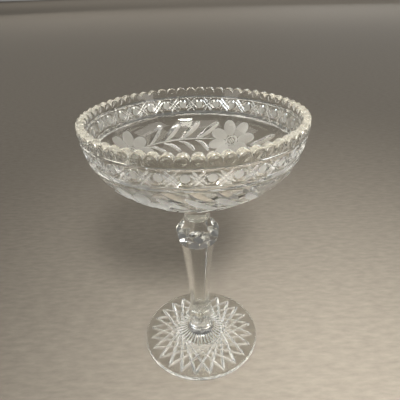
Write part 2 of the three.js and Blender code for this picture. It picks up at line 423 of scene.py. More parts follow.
# %% [markdown]
# ## Curved cuts
# A curved cut follows a line on the glass. Its cutter is a sphere of four segments and several rings,
# whose rings are moved along the line. The sphere's own roundness makes it swell in the middle and close
# to a point at both ends, and a power of the share along the line, its fullness, moves the swelling
# towards the tip. Each side of the groove has a finish of its own.

# %% A cutter that follows a line
EVEN = 1.0
LOOK_AHEAD = 0.01


def drawn_cut(line, width, depth, rings, fullness, finishes):
    """A cutter for a V groove along a line, which gives a place and the way out of the glass for a share."""
    bpy.ops.object.select_all(action="DESELECT")
    bpy.ops.mesh.primitive_uv_sphere_add(segments=V_SIDES, ring_count=rings, radius=1)
    cut = just_added(*finishes)
    for face in cut.data.polygons:
        face.material_index = int(face.center.x > 0)
    for vertex in cut.data.vertices:
        share = ((vertex.co.z + 1) / 2) ** fullness
        place, out = line(share)
        ahead = line(share + LOOK_AHEAD)[0] - line(share - LOOK_AHEAD)[0]
        side = out.cross(ahead.normalized())
        vertex.co = place + (side * vertex.co.x * width / 2 + out * vertex.co.y * depth) * MM
    return cut


print("curved cuts follow a line")

# %% [markdown]
# ## Cutting
# Each wheel is modelled once and stamped wherever it is needed, and one Boolean difference takes the
# whole set out of the blank. The cut faces keep the cutter's finish.

# %% Stamps and cuts


def stamp(wheel, place, cuts):
    """Put a copy of a wheel shape, with its own mesh, where a cut is wanted."""
    copy = wheel.copy()
    copy.data = wheel.data.copy()
    copy.data.transform(place)
    cuts.objects.link(copy)


def new_cuts(name):
    """An empty set of cuts."""
    cuts = bpy.data.collections.new(name)
    bpy.context.scene.collection.children.link(cuts)
    return cuts


def grind(piece, cuts):
    """Cut a set of wheel shapes out of a piece, then clear the set away."""
    take_up(piece)
    cut = piece.modifiers.new("wheel cuts", "BOOLEAN")
    cut.operation = "DIFFERENCE"
    cut.operand_type = "COLLECTION"
    cut.collection = cuts
    cut.solver = "MANIFOLD"
    cut.material_mode = "TRANSFER"
    bpy.ops.object.modifier_apply(modifier=cut.name)
    count = len(cuts.objects)
    for wheel in list(cuts.objects):
        bpy.data.objects.remove(wheel)
    bpy.data.collections.remove(cuts)
    return count


print("cuts are taken by a Boolean difference")

# %% [markdown]
# ## Polishing
# Round surfaces are shaded smooth, while the edges of cuts and facets stay crisp. Smoothing by angle does
# both, with a crease angle for each piece.

# %% Polish a finished piece


def polish(piece, crease_degrees):
    """Smooth the round surfaces and keep every edge sharper than the crease."""
    take_up(piece)
    bpy.ops.object.shade_smooth_by_angle(angle=math.radians(crease_degrees))
    piece.data.calc_loop_triangles()
    print(piece.name, "has", len(piece.data.loop_triangles), "triangles")


print("polish keeps the edges that are sharper than a crease")

# %% [markdown]
# ## Foot
# The foot is a thin disc whose upper face climbs to a flared hub. It could be a cylinder with bevels, but
# a spun profile keeps its curves true and rounds its edge evenly. Each piece reaches a hair into the next
# one up, because with no air between them light passes as through one glass.

# %% Foot blank
foot_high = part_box("foot")[1]
FOOT_RADIUS = foot_high.x / MM
HUB_TOP = foot_high.z / MM
HUB_RADIUS = 8.2
FOOT_EDGE = 4.4
FOOT_EDGE_ROUND = 1.4
FOOT_EDGE_ROLL = 2.8
CROWN_RADIUS = 21.0
CROWN_HEIGHT = 7.6
HUB_BEND = (13.06, 12.64)
UPPER_FACE_PULL = (36.0, 6.1)
LAP = 0.15
FOOT_SEGMENTS = 144
EDGE_STEPS = 5
ROLL_STEPS = 8
FACE_STEPS = 6
HUB_STEPS = 16

edge_in, roll_in = FOOT_RADIUS - FOOT_EDGE_ROUND, FOOT_RADIUS - FOOT_EDGE_ROLL
edge_low = curve([(edge_in, 0), (FOOT_RADIUS, 0), (FOOT_RADIUS, FOOT_EDGE_ROUND)], EDGE_STEPS)
roll_start = (FOOT_RADIUS, FOOT_EDGE - FOOT_EDGE_ROLL)
edge_high = curve([roll_start, (FOOT_RADIUS, FOOT_EDGE), (roll_in, FOOT_EDGE)], ROLL_STEPS)
upper_face = curve([(roll_in, FOOT_EDGE), UPPER_FACE_PULL, (CROWN_RADIUS, CROWN_HEIGHT)], FACE_STEPS)
hub_pulls = [(HUB_BEND[0], CROWN_HEIGHT), (HUB_RADIUS, HUB_BEND[1])]
hub_side = curve([(CROWN_RADIUS, CROWN_HEIGHT), *hub_pulls, (HUB_RADIUS, HUB_TOP)], HUB_STEPS)
hub_lap = [(HUB_RADIUS, HUB_TOP + LAP), (0, HUB_TOP + LAP)]
foot_profile = [(0, 0), *edge_low, *edge_high, *upper_face[1:-1], *hub_side, *hub_lap]
foot = turn_blank("foot_glass", foot_profile, FOOT_SEGMENTS, clear_crystal)
print("foot blank:", len(foot.data.polygons), "faces,", round(2 * FOOT_RADIUS, 1), "mm across")

# %% [markdown]
# ## The star
# The star on the underside is the work that takes the steadiest hand: twenty-four long mitre cuts, each
# from one point of the star to the ninth point on. Together they leave a ring of small diamonds round a
# clear middle.

# %% Star cut into the underside
STAR_POINTS = 24
STAR_SKIP = 9
STAR_MARGIN = 5.5
STAR_RADIUS = FOOT_RADIUS - STAR_MARGIN
STAR_CUT_WIDTH = 2.8
STAR_CUT_DEPTH = 1.6
STAR_TIP = 3.0
STAR_OVERRUN = 1.5

half_span = math.pi * STAR_SKIP / STAR_POINTS
star_length = 2 * (STAR_RADIUS * math.sin(half_span) + STAR_OVERRUN)
star_wheel = trough_wheel(star_length, STAR_CUT_WIDTH, STAR_CUT_DEPTH, STAR_TIP, honed_crystal)
foot_cuts = new_cuts("foot_cuts")
beside = Matrix.Translation((0, STAR_RADIUS * math.cos(half_span) * MM, 0))
for point in range(STAR_POINTS):
    stamp(star_wheel, Matrix.Rotation(2 * math.pi * point / STAR_POINTS, 4, "Z") @ beside, foot_cuts)
bpy.data.objects.remove(star_wheel)
print("star:", STAR_POINTS, "cuts of", round(star_length, 1), "mm")

# %% [markdown]
# ## Flutes on the hub
# Short flutes run down the flare of the hub, like the rays round a button. They are curved cuts that
# follow the flare's own profile, and they stay matt, so that they show as white rays.

# %% Flutes, and the foot is cut
FLUTES = 36
FLUTE_START, FLUTE_END = 0.0, 0.46
FLUTE_WIDTH = 1.3
FLUTE_DEPTH = 0.9
FLUTE_RINGS = 10
FOOT_CREASE = 12


def down_the_hub(share):
    """A place on the flare of the hub and the way out of the glass there."""
    position = (FLUTE_START + share * (FLUTE_END - FLUTE_START)) * (len(hub_side) - 1)
    index = int(position)
    here, there = Vector(hub_side[index]), Vector(hub_side[index + 1])
    spot, slope = here.lerp(there, position - index), (there - here).normalized()
    return Vector((spot.x, 0, spot.y)) * MM, Vector((slope.y, 0, -slope.x))


flute_finishes = (ground_crystal, ground_crystal)
flute = drawn_cut(down_the_hub, FLUTE_WIDTH, FLUTE_DEPTH, FLUTE_RINGS, EVEN, flute_finishes)
for number in range(FLUTES):
    stamp(flute, Matrix.Rotation(2 * math.pi * number / FLUTES, 4, "Z"), foot_cuts)
bpy.data.objects.remove(flute)
print("cuts in the foot:", grind(foot, foot_cuts))
polish(foot, FOOT_CREASE)

# %% [markdown]
# ## Button
# A rounded wafer of glass joins the foot to the stem. A pressed sphere would be near, but a spun curve
# can be full at its lower edge and drawn in where the stem stands on it.

# %% Foot button
button_low, button_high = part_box("foot_button")
BUTTON_BASE = button_low.z / MM
BUTTON_TOP = button_high.z / MM
BUTTON_RADIUS = button_high.x / MM
BUTTON_SEAT = 9.1
BUTTON_BULGE = 5.0
STEM_SEGMENTS = 72
WAFER_STEPS = 12
WAFER_CREASE = 25

button_middle = (BUTTON_RADIUS, BUTTON_BASE + BUTTON_BULGE)
button_side = bowed((HUB_RADIUS, BUTTON_BASE), button_middle, (BUTTON_SEAT, BUTTON_TOP), WAFER_STEPS)
button_profile = [(0, BUTTON_BASE), *button_side, (0, BUTTON_TOP)]
foot_button = turn_blank("foot_button_glass", button_profile, STEM_SEGMENTS, clear_crystal)
polish(foot_button, WAFER_CREASE)

# %% [markdown]
# ## Stem
# The shaft is ground with six long flat panels, so it is a hexagon in section, and the lathe can't make
# it. It starts as a six-sided cylinder, and its top face is extruded upwards and resized again and again
# along the swelling outline.

# %% Six-panel shaft
stem_low, stem_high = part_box("stem")
STEM_BASE = stem_low.z / MM
STEM_TOP = stem_high.z / MM
PANELS = 6
PANEL_TURN = math.radians(34)
WAIST_RADIUS = 8.45
WAIST_TOP = STEM_BASE + 8
SHAFT_TOP = STEM_BASE + 71
SHAFT_TOP_RADIUS = 13.9
SWELL_SHARE = 0.4
SWELL_STEPS = 18

bpy.ops.object.select_all(action="DESELECT")
bpy.ops.mesh.primitive_cylinder_add(
    vertices=PANELS,
    radius=WAIST_RADIUS * MM,
    depth=(WAIST_TOP - STEM_BASE + LAP) * MM,
    location=(0, 0, (WAIST_TOP + STEM_BASE - LAP) / 2 * MM),
    rotation=(0, 0, PANEL_TURN),
)
stem = just_added(clear_crystal)
stem.name = "stem_glass"
bpy.ops.object.transform_apply()
pick_points(stem, lambda co: co.z > STEM_BASE * MM)
swell_pull = (WAIST_RADIUS, WAIST_TOP + SWELL_SHARE * (SHAFT_TOP - WAIST_TOP))
swell = curve([(WAIST_RADIUS, WAIST_TOP), swell_pull, (SHAFT_TOP_RADIUS, SHAFT_TOP)], SWELL_STEPS)
for (radius, height), (next_radius, next_height) in zip(swell, swell[1:]):
    rise = (0, 0, (next_height - height) * MM)
    bpy.ops.mesh.extrude_region_move(TRANSFORM_OT_translate={"value": rise})
    growth = next_radius / radius
    bpy.ops.transform.resize(value=(growth, growth, 1), center_override=(0, 0, next_height * MM))
bpy.ops.object.mode_set(mode="OBJECT")
shaft_height = max(vertex.co.z for vertex in stem.data.vertices) / MM
print("shaft:", len(stem.data.polygons), "faces, top at", round(shaft_height, 2), "mm")

# %% [markdown]
# ## Edges of the panels
# A polished edge is never a knife edge: it is a narrow flat that shows as a bright line. Bevelling every
# edge of the shaft would cut grooves round it too, so only the edges that climb it are selected.

# %% Bevel along the six long edges
SHAFT_EDGE_ROUND = 0.5
BEVEL_SEGMENTS = 2


def is_long_edge(edge):
    """True for an edge that climbs the shaft, false for one that goes round it."""
    a, b = (stem.data.vertices[index].co for index in edge.vertices)
    return abs(a.z - b.z) > MM


pick_points(stem, lambda co: False)
bpy.ops.mesh.select_mode(type="EDGE")
bpy.ops.object.mode_set(mode="OBJECT")
for edge in stem.data.edges:
    edge.select = is_long_edge(edge)
bpy.ops.object.mode_set(mode="EDIT")
bpy.ops.mesh.bevel(offset=SHAFT_EDGE_ROUND * MM, segments=BEVEL_SEGMENTS, affect="EDGES")
bpy.ops.object.mode_set(mode="OBJECT")
print("shaft with bevelled edges:", len(stem.data.polygons), "faces")

# %% [markdown]
# ## Root and bead
# The panels fade out above a short round root. At the top the shaft swells into a knop, which starts as a
# round bead. Both are turned like the other blanks.

# %% Round root and bead
ROOT_TOP = STEM_BASE + 12
KNOP_RADIUS = 17.2
KNOP_GIRDLE = SHAFT_TOP + 10
NECK_RADIUS = 9.9
ROOT_BEND = 3.6
BEAD_STEPS = 28

panel_depth = WAIST_RADIUS * math.cos(math.pi / PANELS)
root_pull = (panel_depth, STEM_BASE + ROOT_BEND)
root_side = curve([(BUTTON_SEAT, STEM_BASE), root_pull, (panel_depth, ROOT_TOP)], WAFER_STEPS)
root_profile = [(0, STEM_BASE - LAP), (BUTTON_SEAT, STEM_BASE - LAP), *root_side, (0, ROOT_TOP)]
root = turn_blank("stem_root", root_profile, STEM_SEGMENTS, clear_crystal)
girdle = (KNOP_RADIUS, KNOP_GIRDLE)
bead_side = bowed((SHAFT_TOP_RADIUS, SHAFT_TOP), girdle, (NECK_RADIUS, STEM_TOP), BEAD_STEPS)
bead_top = [(NECK_RADIUS - LAP / 2, STEM_TOP + LAP), (0, STEM_TOP + LAP)]
knop = turn_blank("stem_knop", [(0, SHAFT_TOP), *bead_side, *bead_top], STEM_SEGMENTS, clear_crystal)
print("bead:", len(knop.data.polygons), "faces")

# %% [markdown]
# ## Facets
# The bead is ground with a row of flat facets above its widest line and a staggered row below. Each facet
# is one Bisect that throws away the outer side and fills the cut, as a flat grinding disc would.

# %% Facets round the knop
GIRDLE_REACH = KNOP_RADIUS + 1.4
NECK_REACH = NECK_RADIUS + 1.3
SHAFT_REACH = SHAFT_TOP_RADIUS + 1.7
FACET_THRESHOLD = MM / 10000


def facet_row(piece, girdle_reach, end_reach, end_height, turn):
    """Bisect six flat facets whose corners run from the girdle to the end height."""
    flat = math.cos(math.pi / PANELS)
    lean = (girdle_reach - end_reach) * flat / (end_height - KNOP_GIRDLE)
    for panel in range(PANELS):
        angle = turn + 2 * math.pi * panel / PANELS
        facing = Vector((math.cos(angle), math.sin(angle), 0))
        middle = facing * girdle_reach * flat * MM + Vector((0, 0, KNOP_GIRDLE * MM))
        take_up(piece)
        bpy.ops.object.mode_set(mode="EDIT")
        bpy.ops.mesh.select_all(action="SELECT")
        bpy.ops.mesh.bisect(
            plane_co=middle,
            plane_no=facing + Vector((0, 0, lean)),
            use_fill=True,
            clear_outer=True,
            threshold=FACET_THRESHOLD,
        )
        bpy.ops.object.mode_set(mode="OBJECT")


facet_row(knop, GIRDLE_REACH, NECK_REACH, STEM_TOP, PANEL_TURN)
facet_row(knop, GIRDLE_REACH, SHAFT_REACH, SHAFT_TOP, PANEL_TURN + math.pi / PANELS)
print("knop:", len(knop.data.polygons), "faces with its", 2 * PANELS, "facets")

# %% [markdown]
# ## One gather
# Root, shaft and knop are one gather of glass, so Boolean unions join them. Left apart, their hidden
# walls would show through the glass.

# %% Join root, shaft and knop
STEM_CREASE = 14

for part in (root, knop):
    take_up(stem)
    weld = stem.modifiers.new("weld", "BOOLEAN")
    weld.operation = "UNION"
    weld.solver = "MANIFOLD"
    weld.object = part
    bpy.ops.object.modifier_apply(modifier=weld.name)
    bpy.data.objects.remove(part)
polish(stem, STEM_CREASE)

# %% [markdown]
# ## Neck
# A second wafer joins the knop to the bowl. It is a short column that opens out under the bowl, so one
# spun curve is enough, straight at first and then flared.

# %% Neck wafer
neck_low, neck_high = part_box("neck_wafer")
NECK_BASE = neck_low.z / MM
NECK_TOP = neck_high.z / MM
BOWL_SEAT = 12.3
NECK_STRAIGHT = 13.3

neck_pull = (NECK_RADIUS, NECK_BASE + NECK_STRAIGHT)
neck_side = curve([(NECK_RADIUS, NECK_BASE), neck_pull, (BOWL_SEAT, NECK_TOP)], WAFER_STEPS)
neck_profile = [(0, NECK_BASE), *neck_side, (BOWL_SEAT, NECK_TOP + LAP), (0, NECK_TOP + LAP)]
neck_wafer = turn_blank("neck_wafer_glass", neck_profile, STEM_SEGMENTS, clear_crystal)
polish(neck_wafer, WAFER_CREASE)

# %% [markdown]
# ## Rings on the wall
# The wall of the bowl is almost upright and leans out along a quarter of a sine wave. Two mitred rings
# frame the cut band. A Boolean could cut them, but they go right round, so three points each in the
# profile do it.

# %% Outer wall and its two rings
bowl_low, bowl_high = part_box("bowl")
BOWL_BASE = bowl_low.z / MM
RIM_TOP = bowl_high.z / MM
RIM_RADIUS = min(bowl_high.x, bowl_high.y) / MM
SHOULDER = BOWL_BASE + 38
WALL_HEIGHT = RIM_TOP - SHOULDER
WALL_LEAN = 4.5
SHOULDER_RADIUS = RIM_RADIUS - WALL_LEAN
LOWER_RING_RISE, LOWER_RING_WIDTH, LOWER_RING_DEPTH = 3.6, 3.6, 1.7
UPPER_RING_DROP, UPPER_RING_WIDTH, UPPER_RING_DEPTH = 8.6, 2.0, 1.0


def wall_radius(height):
    """Radius of the plain outer wall above the shoulder."""
    return SHOULDER_RADIUS + WALL_LEAN * math.sin((height - SHOULDER) / WALL_HEIGHT * math.pi / 2)


def ring(height, width, depth):
    """The three profile points of a mitred ring."""
    low, high = height - width / 2, height + width / 2
    return [(wall_radius(low), low), (wall_radius(height) - depth, height), (wall_radius(high), high)]


def wall_rows(low, high, count):
    """Profile points between two heights on the outer wall, ends left out."""
    heights = [low + (high - low) * row / count for row in range(1, count)]
    return [(wall_radius(height), height) for height in heights]


lower_ring = ring(SHOULDER + LOWER_RING_RISE, LOWER_RING_WIDTH, LOWER_RING_DEPTH)
upper_ring = ring(RIM_TOP - UPPER_RING_DROP, UPPER_RING_WIDTH, UPPER_RING_DEPTH)
print("rings at", round(lower_ring[1][1], 1), "and", round(upper_ring[1][1], 1), "mm")

# %% [markdown]
# ## Belly
# Below the wall the bowl has a shallow belly. Solidify could give it its inside, but with one thickness,
# and the floor of a bowl is thicker than its wall. So outside and inside are two Bezier curves with the
# same sweep.

# %% Outside and inside of the belly
FLOOR_THICKNESS = 8.0
SHOULDER_WALL = 5.4
BELLY_RISE = 3.0
BELLY_SWEEP = 0.43
BELLY_FULLNESS = 0.895
BELLY_TURN = 0.55
OUTER_STEPS, INNER_STEPS = 24, 22

sweep = SHOULDER_RADIUS - BOWL_SEAT
outer_pulls = [
    (BOWL_SEAT + BELLY_SWEEP * sweep, BOWL_BASE + BELLY_RISE),
    (BOWL_SEAT + BELLY_FULLNESS * sweep, BOWL_BASE + BELLY_TURN * (SHOULDER - BOWL_BASE)),
]
outer_belly = curve([(BOWL_SEAT, BOWL_BASE), *outer_pulls, (SHOULDER_RADIUS, SHOULDER)], OUTER_STEPS)
inner_shoulder = SHOULDER_RADIUS - SHOULDER_WALL
inner_floor = BOWL_BASE + FLOOR_THICKNESS
inner_pulls = [
    (BELLY_SWEEP * inner_shoulder, inner_floor),
    (BELLY_FULLNESS * inner_shoulder, inner_floor + BELLY_TURN * (SHOULDER - inner_floor)),
]
inner_belly = curve([(0, inner_floor), *inner_pulls, (inner_shoulder, SHOULDER)], INNER_STEPS)
print("belly:", len(outer_belly), "points outside and", len(inner_belly), "inside")

# %% [markdown]
# ## Bowl
# The profile goes up the outside, over the rounded rim and down the inside. The columns of the mesh are
# counted from the scallops of the rim, eight to each, so that every scallop gets the same points.

# %% Bowl blank
RIM_WALL = 5.0
RIM_ROUND = 1.3
LIP_ROUND = 0.9
LIP_LEAN = 0.15
RIM_STEPS, LIP_STEPS, WALL_STEPS = 4, 3, 10
BAND_ROWS, EDGE_ROWS = 6, 7
SCALLOPS = 58
COLUMNS_EACH = 8

inner_rim = RIM_RADIUS - RIM_WALL
rim_low = RIM_TOP - RIM_ROUND
lip_end = (inner_rim - LIP_LEAN, RIM_TOP - LIP_ROUND)
rim_end = (RIM_RADIUS - RIM_ROUND, RIM_TOP)
rim_outer = curve([(RIM_RADIUS, rim_low), (RIM_RADIUS, RIM_TOP), rim_end], RIM_STEPS)
rim_inner = curve([(inner_rim + LIP_ROUND, RIM_TOP), (inner_rim, RIM_TOP), lip_end], LIP_STEPS)
inner_wall = curve([lip_end, (inner_shoulder, SHOULDER)], WALL_STEPS)
bowl_profile = [
    (0, BOWL_BASE),
    *outer_belly,
    *lower_ring,
    *wall_rows(lower_ring[2][1], upper_ring[0][1], BAND_ROWS),
    *upper_ring,
    *wall_rows(upper_ring[2][1], rim_low, EDGE_ROWS),
    *rim_outer,
    *rim_inner,
    *inner_wall[1:-1],
    *reversed(inner_belly),
]
bowl = turn_blank("bowl_glass", bowl_profile, SCALLOPS * COLUMNS_EACH, cut_crystal)
print("bowl blank:", len(bowl.data.polygons), "faces,", round(2 * RIM_RADIUS, 1), "mm across")

# %% [markdown]
# ## Scalloped rim
# The rim is ground into fifty-eight small round arches with a sharp valley between neighbours. The
# valleys run straight across the wall. A Boolean would leave ragged quads on so thin an edge, so the
# rim's own points are moved: first sideways, so that they are evenly spread along each arch, then down by
# the height of the arch.

# %% Scallops
SCALLOP_DEPTH = 3.6
SCALLOP_TURN = math.radians(1.8)
RING_CLEARANCE = 0.2
INNER_MARGIN = 0.5
FADE_END = upper_ring[2][1] + RING_CLEARANCE
FADE_START = rim_low

pitch = 2 * math.pi / SCALLOPS
half_width = pitch / 2 * (RIM_RADIUS - RIM_WALL / 2)
arch = (half_width**2 + SCALLOP_DEPTH**2) / (2 * SCALLOP_DEPTH)
arch_angle = math.asin(half_width / arch)
inner_lean = (inner_rim - inner_shoulder) / WALL_HEIGHT
for vertex in bowl.data.vertices:
    radius = math.hypot(vertex.co.x, vertex.co.y)
    bearing = math.atan2(vertex.co.x, vertex.co.y) / pitch
    middle = math.floor(bearing) + 0.5
    swing = 2 * (bearing - middle) * arch_angle
    bearing = (middle + arch * math.sin(swing) / (2 * half_width)) * pitch + SCALLOP_TURN
    height = vertex.co.z / MM
    share = min(1, max(0, (height - FADE_END) / (FADE_START - FADE_END)))
    drop = arch * (1 - math.cos(swing)) * share
    if radius < (inner_rim + INNER_MARGIN) * MM:
        radius -= drop * inner_lean * MM
    vertex.co = (radius * math.sin(bearing), radius * math.cos(bearing), (height - drop) * MM)
print("scallops:", SCALLOPS, "of", round(2 * half_width, 2), "mm, arch radius", round(arch, 2), "mm")

# %% [markdown]
# ## Satin edge and plain inside
# The arches get the satin finish, with its painted cream glow, on the faces that look upwards, picked by
# their height and normal. The faces that look towards the middle of the bowl's mouth are its plain inside
# and get the finish that lets light in.

# %% Satin on the scallops, and the inside
EDGE_SLOPE = 0.35
SATIN_GLOW_SLOT, INSIDE_SLOT = 1, 2

bowl.data.update()
bowl.data.materials.append(satin_painted_glow_crystal)
bowl.data.materials.append(inside_crystal)
mouth = Vector((0, 0, RIM_TOP * MM))
arches_low = (RIM_TOP - SCALLOP_DEPTH - RIM_ROUND) * MM
for face in bowl.data.polygons:
    if face.normal.dot(mouth - face.center) > 0:
        face.material_index = INSIDE_SLOT
    # Upward faces of the arches take the satin with its painted cream glow.
    if face.normal.z > EDGE_SLOPE and face.center.z > arches_low:
        face.material_index = SATIN_GLOW_SLOT
slots = [face.material_index for face in bowl.data.polygons]
print("satin faces:", slots.count(SATIN_GLOW_SLOT), "inside faces:", slots.count(INSIDE_SLOT))

# %% [markdown]
# ## Finding a place on the wall
# Every cut on the bowl lies on its curved outer wall. A place is given by a bearing, clockwise from the
# far side as seen from above, and by a climb, the distance along the wall from the neck. The helper
# returns a matrix whose X goes round the wall, Y up it and Z straight out, so that a wheel lies flat on
# the glass anywhere.

# %% Places on the outer wall
OUTLINE_ROWS = 20
HALVINGS = 40

outer_line = [*outer_belly, *wall_rows(SHOULDER, RIM_TOP, OUTLINE_ROWS), (RIM_RADIUS, RIM_TOP)]
climbs = [0.0]
for here, there in zip(outer_line, outer_line[1:]):
    climbs.append(climbs[-1] + math.dist(here, there))


def wall_at(climb):
    """Radius and height on the outer wall at a climb, and the direction of the wall there."""
    index = min(max(bisect.bisect_right(climbs, climb) - 1, 0), len(climbs) - 2)
    here, there = Vector(outer_line[index]), Vector(outer_line[index + 1])
    share = (climb - climbs[index]) / (climbs[index + 1] - climbs[index])
    return here.lerp(there, share), (there - here).normalized()


def climb_to(height):
    """The climb at which the outer wall reaches a height."""
    low, high = 0.0, climbs[-1]
    for _ in range(HALVINGS):
        middle = (low + high) / 2
        if wall_at(middle)[0].y < height:
            low = middle
        else:
            high = middle
    return low


def on_wall(bearing, climb, turn=0.0):
    """A matrix that lays a wheel on the wall, turned about the line straight out of the glass."""
    spot, slope = wall_at(climb)
    outward = Vector((math.sin(bearing), math.cos(bearing), 0))
    right = Vector((-math.cos(bearing), math.sin(bearing), 0))
    up = outward * slope.x + Vector((0, 0, slope.y))
    place = Matrix((right, up, right.cross(up))).transposed().to_4x4()
    place.translation = (outward * spot.x + Vector((0, 0, spot.y))) * MM
    return place @ Matrix.Rotation(turn, 4, "Z")


print("wall length from neck to rim:", round(climbs[-1], 1), "mm")

# %% [markdown]
# ## Thumbprints
# Under each arch of the rim a small polished dish is ground into the outside. It acts as a lens and gives
# each scallop a bright outline. One dish is modelled and stamped under every arch, so that all are alike.

# %% Thumbprints under the scallops
THUMB_WIDTH, THUMB_LENGTH, THUMB_DEPTH = 6.0, 5.6, 0.55
THUMB_DROP = 3.9

bowl_cuts = new_cuts("bowl_cuts")
thumb_wheel = dish_wheel(THUMB_WIDTH, THUMB_LENGTH, THUMB_DEPTH, cut_crystal)
thumb_climb = climb_to(RIM_TOP - THUMB_DROP)
for scallop in range(SCALLOPS):
    stamp(thumb_wheel, on_wall((scallop + 0.5) * pitch + SCALLOP_TURN, thumb_climb), bowl_cuts)
bpy.data.objects.remove(thumb_wheel)
print("thumbprints:", SCALLOPS)

# %% [markdown]
# ## The band
# Between the two rings runs a band of round discs. Each has a matt floor and a steep polished side, which
# shines as a ring. A cylinder would leave an upright side that can't be seen from the front, so the
# cutter is a cone cut short: its side keeps the polish and only its small end is matt.

# %% Cutter of a disc
DISC_DIAMETER = 8.4
DISC_FLOOR = 5.6
DISC_DEPTH = 1.0
DISC_SIDES = 24
FLOOR_FACING = -0.9


def disc_wheel(diameter, floor, depth):
    """A cutter for a round recess with a sloping polished side and a matt floor."""
    spread = (diameter - floor) / 2
    bpy.ops.object.select_all(action="DESELECT")
    bpy.ops.mesh.primitive_cone_add(
        vertices=DISC_SIDES,
        radius1=floor / 2 * MM,
        radius2=(diameter / 2 + spread) * MM,
        depth=2 * depth * MM,
    )
    wheel = just_added(cut_crystal, frosted_crystal)
    for face in wheel.data.polygons:
        face.material_index = int(face.normal.z < FLOOR_FACING)
    return wheel


disc = disc_wheel(DISC_DIAMETER, DISC_FLOOR, DISC_DEPTH)
print("disc cutter:", len(disc.data.polygons), "faces")

# %% [markdown]
# ## Crossed mitres
# Crossed pairs of mitres fill the room between the discs and leave small diamonds. They are long passes,
# laid on the wall at a slant. Discs and mitres are stamped in one walk round the bowl.

# %% Discs and crossed mitres in the band
BAND_DISCS = 32
BAND_BEARING = math.radians(4.3)
MITRE_WIDTH = 1.9
MITRE_DEPTH = 0.95
MITRE_PAIR_GAP = 2.3
MITRE_LENGTH = 13.6
MITRE_TIP = 1.6
SLANTS = (math.pi / 4, -math.pi / 4)
MITRE_SIDES = (-1, 1)

band_low, band_high = lower_ring[2][1], upper_ring[0][1]
band_climb = climb_to((band_low + band_high) / 2)
cross_wheel = trough_wheel(MITRE_LENGTH, MITRE_WIDTH, MITRE_DEPTH, MITRE_TIP, honed_crystal)
step = 2 * math.pi / BAND_DISCS
for number in range(BAND_DISCS):
    bearing = BAND_BEARING + number * step
    stamp(disc, on_wall(bearing, band_climb), bowl_cuts)
    for slant in SLANTS:
        for side in MITRE_SIDES:
            shift = Matrix.Translation((0, side * MITRE_PAIR_GAP / 2 * MM, 0))
            stamp(cross_wheel, on_wall(bearing + step / 2, band_climb, slant) @ shift, bowl_cuts)
for wheel in (disc, cross_wheel):
    bpy.data.objects.remove(wheel)
mitres = BAND_DISCS * len(SLANTS) * len(MITRE_SIDES)
print("band:", BAND_DISCS, "discs and", mitres, "mitres over", round(band_high - band_low, 1), "mm")

# %% [markdown]
# ## Petals
# A petal is an oval hollow that is left matt. A flat cutter would only reach its middle, because the wall
# curves away. So the points of a pressed sphere are laid on the wall one by one, and the petal follows
# the glass.

# %% Cutter of a petal
PETAL_LENGTH = 15.8
PETAL_WIDTH = 10.8
PETAL_DEPTH = 0.8
PETAL_SIDES, PETAL_RINGS = 24, 10


def laid_on_wall(wheel, bearing, climb, turn):
    """Lay the points of a wheel on the wall round a place, so that it follows the glass."""
    for vertex in wheel.data.vertices:
        flat = Matrix.Rotation(turn, 3, "Z") @ vertex.co / MM
        height = climb + flat.y
        place = on_wall(bearing - flat.x / wall_at(height)[0].x, height)
        vertex.co = place @ Vector((0, 0, flat.z * MM))


def petal(bearing, climb, turn):
    """A cutter for one petal, with its long way along the turned Y."""
    half_sizes = (PETAL_WIDTH / 2, PETAL_LENGTH / 2, PETAL_DEPTH)
    wheel = pressed_ball(PETAL_SIDES, PETAL_RINGS, half_sizes, ground_crystal)
    laid_on_wall(wheel, bearing, climb, turn)
    return wheel


print("petals are", PETAL_LENGTH, "mm long and", PETAL_WIDTH, "mm wide")

# %% [markdown]
# ## Flowers
# Four daisies of eight petals sit a quarter turn apart on the belly. Each cutter is made for one flower
# at bearing zero, stamped once for every flower and cleared away.

# %% Petals of the flowers
FLOWERS = 4
FLOWER_BEARING = math.radians(32)
FLOWER_HEIGHT = 168.3
PETALS = 8
PETAL_DISTANCE = 12.8


def all_flowers(wheel):
    """Stamp a cutter made at bearing zero into every flower, and clear it away."""
    for number in range(FLOWERS):
        bearing = FLOWER_BEARING + 2 * math.pi * number / FLOWERS
        stamp(wheel, Matrix.Rotation(-bearing, 4, "Z"), bowl_cuts)
    bpy.data.objects.remove(wheel)


flower_climb = climb_to(FLOWER_HEIGHT)
flower_radius = wall_at(flower_climb)[0].x
for number in range(PETALS):
    angle = 2 * math.pi * (number + 0.5) / PETALS
    across, up = PETAL_DISTANCE * math.cos(angle), PETAL_DISTANCE * math.sin(angle)
    all_flowers(petal(-across / flower_radius, flower_climb + up, angle - math.pi / 2))
print("petals:", FLOWERS * PETALS)

# %% [markdown]
# ## Eyes of the flowers
# The eye is a round button inside a shallow frosted groove, hatched all over with crossed mitres. The
# groove's cutter is a ring that is lifted off the wall, so that only its underside reaches the glass.

# %% Eyes with hatching
EYE_RADIUS = 4.6
EYE_GROOVE = 1.4
EYE_LIFT = 0.85
HATCH_LENGTH = 11.0
HATCH_WIDTH = 1.7
HATCH_DEPTH = 0.6
HATCH_GAP = 1.7
HATCH_ROWS = (-1, 0, 1)
EYE_SEGMENTS, GROOVE_SEGMENTS = 36, 8

